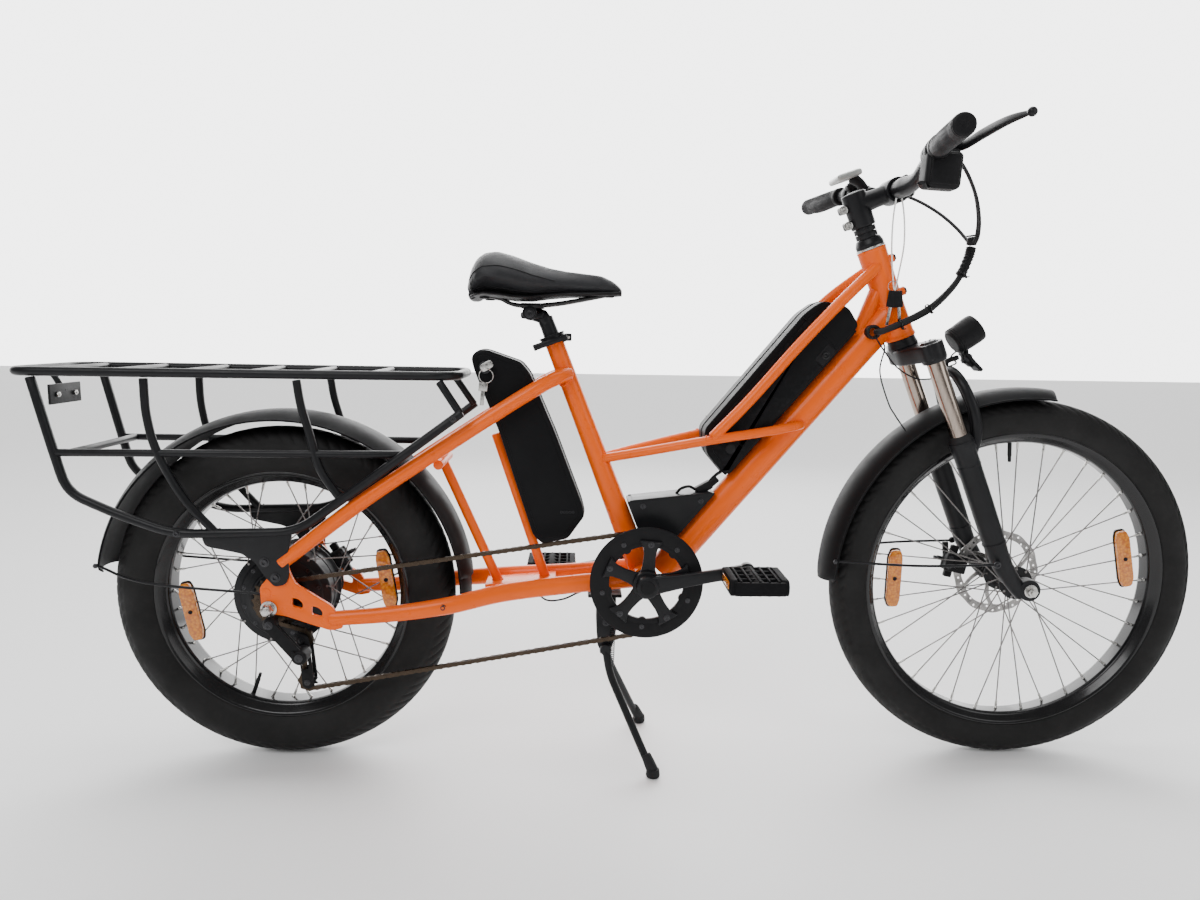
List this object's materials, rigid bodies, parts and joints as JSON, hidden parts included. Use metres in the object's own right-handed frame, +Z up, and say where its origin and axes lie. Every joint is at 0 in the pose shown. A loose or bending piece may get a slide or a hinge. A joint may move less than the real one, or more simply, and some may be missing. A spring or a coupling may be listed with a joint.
{
  "type": "electric cargo bicycle",
  "caption": "Long-tail electric cargo bicycle with a step-through frame, hub motor, suspension fork, rear deck, fenders, twin-leg stand and two lift-out batteries.",
  "frame": {"origin": "on the ground under the middle of the bicycle's length, in its middle plane", "axes": "+X forwards, +Y to the rider's left, +Z up"},
  "size_m": [2.0272, 0.7382, 1.0613],
  "materials": {
    "orange_paint": "bright orange gloss powder coat",
    "black_satin": "satin blue-black paint",
    "black_gloss": "glossy black anodised wall",
    "black_plastic": "matte black moulded plastic",
    "tyre_rubber": "matte black tread rubber",
    "grip_rubber": "matte black grip rubber",
    "saddle_skin": "matte black vinyl",
    "steel": "bright drawn steel",
    "rotor_steel": "ground brake disc steel",
    "chain_steel": "brown-black oiled steel",
    "display_grey": "silver-grey display shell"
  },
  "bodies": {
    "frame": {"head_tube": "orange_paint", "down_tube": "orange_paint", "seat_tube": "orange_paint", "brace_tube_left": "orange_paint", "brace_tube_right": "orange_paint", "top_tube_left": "orange_paint", "top_tube_right": "orange_paint", "rear_triangle_left": "orange_paint", "rear_triangle_right": "orange_paint", "centre_struts": "orange_paint", "rack_deck": "black_satin", "rack_side_left": "black_satin", "rack_side_right": "black_satin", "rear_fender": "black_satin", "controller_box": "black_plastic", "rear_axle": "steel", "rear_caliper": "black_plastic", "chain": "chain_steel", "stand_bracket": "black_satin", "seat_collar": "black_satin", "cable_loom": "black_plastic"},
    "steering": {"fork_crown": "black_satin", "stem": "black_satin", "handlebar": "black_satin", "grip_left": "grip_rubber", "grip_right": "grip_rubber", "lever_body_left": "black_satin", "lever_body_right": "black_satin", "display": "display_grey", "brake_cables": "black_plastic"},
    "lowers": {"fork_lowers": "black_satin", "front_fender": "black_satin", "front_caliper": "black_plastic"},
    "front_wheel": {"front_tyre": "tyre_rubber", "front_rim": "black_gloss", "front_spokes": "steel", "front_hub": "black_satin", "front_rotor": "rotor_steel"},
    "rear_wheel": {"rear_tyre": "tyre_rubber", "rear_rim": "black_gloss", "rear_spokes": "steel", "hub_motor": "black_satin", "rear_rotor": "rotor_steel", "freewheel": "chain_steel"},
    "crank": {"crankset": "black_satin", "chainring": "black_plastic"},
    "pedal_left": {"pedal_left": "black_plastic"},
    "pedal_right": {"pedal_right": "black_plastic"},
    "kickstand": {"kickstand": "black_satin"},
    "seat": {"seat_post": "black_satin", "saddle": "saddle_skin"},
    "seat_lever": {"seat_lever": "black_satin"},
    "rear_battery": {"rear_battery": "black_plastic"},
    "battery_key": {"battery_key": "steel"},
    "front_battery": {"front_battery": "black_plastic"},
    "derailleur": {"derailleur_body": "black_plastic"},
    "derailleur_cage": {"derailleur_cage": "black_plastic"},
    "headlight": {"headlight": "black_plastic"},
    "brake_lever_left": {"brake_lever_left": "black_satin"},
    "brake_lever_right": {"brake_lever_right": "black_satin"}
  },
  "joints": [
    {"name": "steering_turn", "type": "hinge", "parent": "frame", "child": "steering", "pos_m": [0.45965, 0, 0.75806], "axis": [-0.3746, 0, 0.9272], "range_deg": [-50, 50], "deforming": ["cable_loom"]},
    {"name": "fork_travel", "type": "slide", "parent": "steering", "child": "lowers", "axis": [-0.3746, 0, 0.9272], "range_m": [0, 0.06], "stiffness_N_per_m": 9000, "springref_m": -0.03},
    {"name": "front_wheel_spin", "type": "hinge", "parent": "lowers", "child": "front_wheel", "pos_m": [0.685, 0, 0.3271], "axis": [0, 1, 0], "continuous": true},
    {"name": "rear_wheel_spin", "type": "hinge", "parent": "frame", "child": "rear_wheel", "pos_m": [-0.612, 0, 0.2955], "axis": [0, 1, 0], "continuous": true},
    {"name": "crank_spin", "type": "hinge", "parent": "frame", "child": "crank", "pos_m": [0.019, 0, 0.336], "axis": [0, 1, 0], "continuous": true},
    {"name": "pedal_left_spin", "type": "hinge", "parent": "crank", "child": "pedal_left", "pos_m": [-0.14842, 0.085, 0.30648], "axis": [0, 1, 0], "continuous": true},
    {"name": "pedal_right_spin", "type": "hinge", "parent": "crank", "child": "pedal_right", "pos_m": [0.18642, -0.096, 0.36552], "axis": [0, 1, 0], "continuous": true},
    {"name": "kickstand_fold", "type": "hinge", "parent": "frame", "child": "kickstand", "pos_m": [-0.047, 0, 0.2], "axis": [0, 1, 0], "range_deg": [0, 95]},
    {"name": "seat_height", "type": "slide", "parent": "frame", "child": "seat", "axis": [-0.3644, 0, 0.9313], "range_m": [-0.011, 0.1]},
    {"name": "seat_lever_swing", "type": "hinge", "parent": "frame", "child": "seat_lever", "pos_m": [-0.126, -0.019, 0.7491], "axis": [-0.3644, 0, 0.9313], "range_deg": [0, 120]},
    {"name": "rear_battery_lift", "type": "slide", "parent": "frame", "child": "rear_battery", "axis": [-0.3206, 0, 0.9472], "range_m": [0, 0.06]},
    {"name": "battery_key_turn", "type": "hinge", "parent": "rear_battery", "child": "battery_key", "pos_m": [-0.259, -0.036, 0.698], "axis": [0, 1, 0], "range_deg": [0, 90]},
    {"name": "front_battery_lift", "type": "slide", "parent": "frame", "child": "front_battery", "axis": [-0.7658, 0, 0.6431], "range_m": [0, 0.06]},
    {"name": "derailleur_swing", "type": "hinge", "parent": "frame", "child": "derailleur", "pos_m": [-0.608, -0.103, 0.272], "axis": [0, 1, 0], "range_deg": [-10, 10], "stiffness_Nm_per_rad": 6},
    {"name": "cage_swing", "type": "hinge", "parent": "derailleur", "child": "derailleur_cage", "pos_m": [-0.562, -0.068, 0.214], "axis": [0, 1, 0], "range_deg": [-20, 20], "stiffness_Nm_per_rad": 3, "deforming": ["chain"]},
    {"name": "headlight_tilt", "type": "hinge", "parent": "lowers", "child": "headlight", "pos_m": [0.5552, 0, 0.7298], "axis": [0, 1, 0], "range_deg": [-20, 20]},
    {"name": "brake_squeeze_left", "type": "hinge", "parent": "steering", "child": "brake_lever_left", "pos_m": [0.444, 0.196, 1.036], "axis": [0, 0, 1], "range_deg": [0, 15], "stiffness_Nm_per_rad": 3, "springref_deg": -2.86},
    {"name": "brake_squeeze_right", "type": "hinge", "parent": "steering", "child": "brake_lever_right", "pos_m": [0.444, -0.196, 1.036], "axis": [0, 0, -1], "range_deg": [0, 15], "stiffness_Nm_per_rad": 3, "springref_deg": -2.86}
  ]
}
